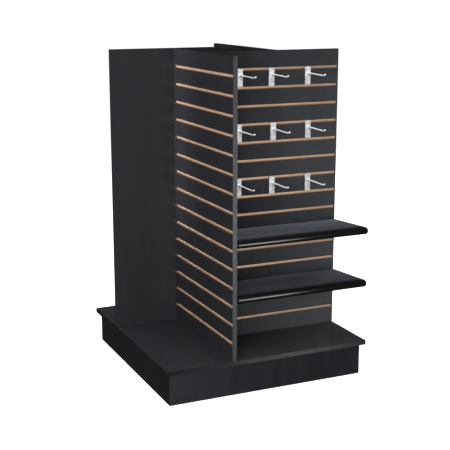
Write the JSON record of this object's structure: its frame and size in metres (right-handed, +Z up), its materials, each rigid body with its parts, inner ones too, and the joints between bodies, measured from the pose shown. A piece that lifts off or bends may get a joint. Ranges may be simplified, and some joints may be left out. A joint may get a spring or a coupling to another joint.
{
  "type": "slatwall merchandiser",
  "caption": "Free-standing pinwheel slatwall display on a square plinth, with grooved black panels, chrome peg hooks and black bullnose shelves.",
  "frame": {"origin": "centre of the square base on the floor", "axes": "+Z up; -Y is the front, where the open end of the front panel's edge stands; +X to the right, the side with the hooks and shelves"},
  "size_m": [0.9144, 0.9144, 1.3716],
  "materials": {
    "mdf_core": "raw",
    "black_laminate": "satin",
    "edge_band": "satin",
    "plinth_board": "satin",
    "softwood": "raw",
    "zinc_hardware": "plated",
    "cap_plastic": "satin",
    "foot_plastic": "satin",
    "hook_chrome": "polished",
    "shelf_plastic": "gloss"
  },
  "bodies": {
    "stand": {"right_panel_core": "mdf_core", "right_panel_face_strips": "black_laminate", "right_panel_back_laminate": "black_laminate", "right_panel_edge_bands": "edge_band", "back_panel_core": "mdf_core", "back_panel_face_strips": "black_laminate", "back_panel_back_laminate": "black_laminate", "back_panel_edge_bands": "edge_band", "left_panel_core": "mdf_core", "left_panel_face_strips": "black_laminate", "left_panel_back_laminate": "black_laminate", "left_panel_edge_bands": "edge_band", "front_panel_core": "mdf_core", "front_panel_face_strips": "black_laminate", "front_panel_back_laminate": "black_laminate", "front_panel_edge_bands": "edge_band", "panel_cam_locks": "zinc_hardware", "panel_cam_bolts": "zinc_hardware", "panel_dowels": "softwood", "panel_cam_caps": "cap_plastic", "deck_core": "mdf_core", "deck_bottom_laminate": "black_laminate", "deck_top_laminate": "black_laminate", "deck_edge_bands": "edge_band", "panel_foot_screws": "zinc_hardware", "plinth_left": "plinth_board", "plinth_right": "plinth_board", "plinth_front": "plinth_board", "plinth_back": "plinth_board", "cross_rail_x": "softwood", "cross_rail_y": "softwood", "corner_posts": "softwood", "foot_tee_nuts": "zinc_hardware", "deck_brackets": "zinc_hardware", "deck_bracket_screws": "zinc_hardware"},
    "levelling_foot_front_left": {"levelling_foot_front_left": "foot_plastic"},
    "levelling_foot_front_right": {"levelling_foot_front_right": "foot_plastic"},
    "levelling_foot_back_left": {"levelling_foot_back_left": "foot_plastic"},
    "levelling_foot_back_right": {"levelling_foot_back_right": "foot_plastic"},
    "hook_top_left": {"hook_top_left_plate": "hook_chrome", "hook_top_left_arm": "hook_chrome"},
    "hook_top_centre": {"hook_top_centre_plate": "hook_chrome", "hook_top_centre_arm": "hook_chrome"},
    "hook_top_right": {"hook_top_right_plate": "hook_chrome", "hook_top_right_arm": "hook_chrome"},
    "hook_middle_left": {"hook_middle_left_plate": "hook_chrome", "hook_middle_left_arm": "hook_chrome"},
    "hook_middle_centre": {"hook_middle_centre_plate": "hook_chrome", "hook_middle_centre_arm": "hook_chrome"},
    "hook_middle_right": {"hook_middle_right_plate": "hook_chrome", "hook_middle_right_arm": "hook_chrome"},
    "hook_lower_left": {"hook_lower_left_plate": "hook_chrome", "hook_lower_left_arm": "hook_chrome"},
    "hook_lower_centre": {"hook_lower_centre_plate": "hook_chrome", "hook_lower_centre_arm": "hook_chrome"},
    "hook_lower_right": {"hook_lower_right_plate": "hook_chrome", "hook_lower_right_arm": "hook_chrome"},
    "upper_shelf": {"upper_shelf": "shelf_plastic"},
    "lower_shelf": {"lower_shelf": "shelf_plastic"}
  },
  "joints": [
    {"name": "levelling_foot_front_left_screw", "type": "slide", "parent": "stand", "child": "levelling_foot_front_left", "axis": [0, 0, -1], "range_m": [0, 0.012]},
    {"name": "levelling_foot_front_right_screw", "type": "slide", "parent": "stand", "child": "levelling_foot_front_right", "axis": [0, 0, -1], "range_m": [0, 0.012]},
    {"name": "levelling_foot_back_left_screw", "type": "slide", "parent": "stand", "child": "levelling_foot_back_left", "axis": [0, 0, -1], "range_m": [0, 0.012]},
    {"name": "levelling_foot_back_right_screw", "type": "slide", "parent": "stand", "child": "levelling_foot_back_right", "axis": [0, 0, -1], "range_m": [0, 0.012]},
    {"name": "hook_top_left_slide", "type": "slide", "parent": "stand", "child": "hook_top_left", "axis": [1, 0, 0], "range_m": [-0.129, 0.059]},
    {"name": "hook_top_centre_slide", "type": "slide", "parent": "stand", "child": "hook_top_centre", "axis": [1, 0, 0], "range_m": [-0.059, 0.0717]},
    {"name": "hook_top_right_slide", "type": "slide", "parent": "stand", "child": "hook_top_right", "axis": [1, 0, 0], "range_m": [-0.0717, 0.1331]},
    {"name": "hook_middle_left_slide", "type": "slide", "parent": "stand", "child": "hook_middle_left", "axis": [1, 0, 0], "range_m": [-0.126, 0.0655]},
    {"name": "hook_middle_centre_slide", "type": "slide", "parent": "stand", "child": "hook_middle_centre", "axis": [1, 0, 0], "range_m": [-0.0655, 0.0693]},
    {"name": "hook_middle_right_slide", "type": "slide", "parent": "stand", "child": "hook_middle_right", "axis": [1, 0, 0], "range_m": [-0.0693, 0.1281]},
    {"name": "hook_lower_left_slide", "type": "slide", "parent": "stand", "child": "hook_lower_left", "axis": [1, 0, 0], "range_m": [-0.125, 0.0643]},
    {"name": "hook_lower_centre_slide", "type": "slide", "parent": "stand", "child": "hook_lower_centre", "axis": [1, 0, 0], "range_m": [-0.0643, 0.0725]},
    {"name": "hook_lower_right_slide", "type": "slide", "parent": "stand", "child": "hook_lower_right", "axis": [1, 0, 0], "range_m": [-0.0725, 0.1251]},
    {"name": "upper_shelf_tilt", "type": "hinge", "parent": "stand", "child": "upper_shelf", "pos_m": [0.1524, -0.16745, 0.6106], "axis": [-1, 0, 0], "range_deg": [0, 14]},
    {"name": "lower_shelf_tilt", "type": "hinge", "parent": "stand", "child": "lower_shelf", "pos_m": [0.1524, -0.16745, 0.382], "axis": [-1, 0, 0], "range_deg": [0, 14]}
  ]
}
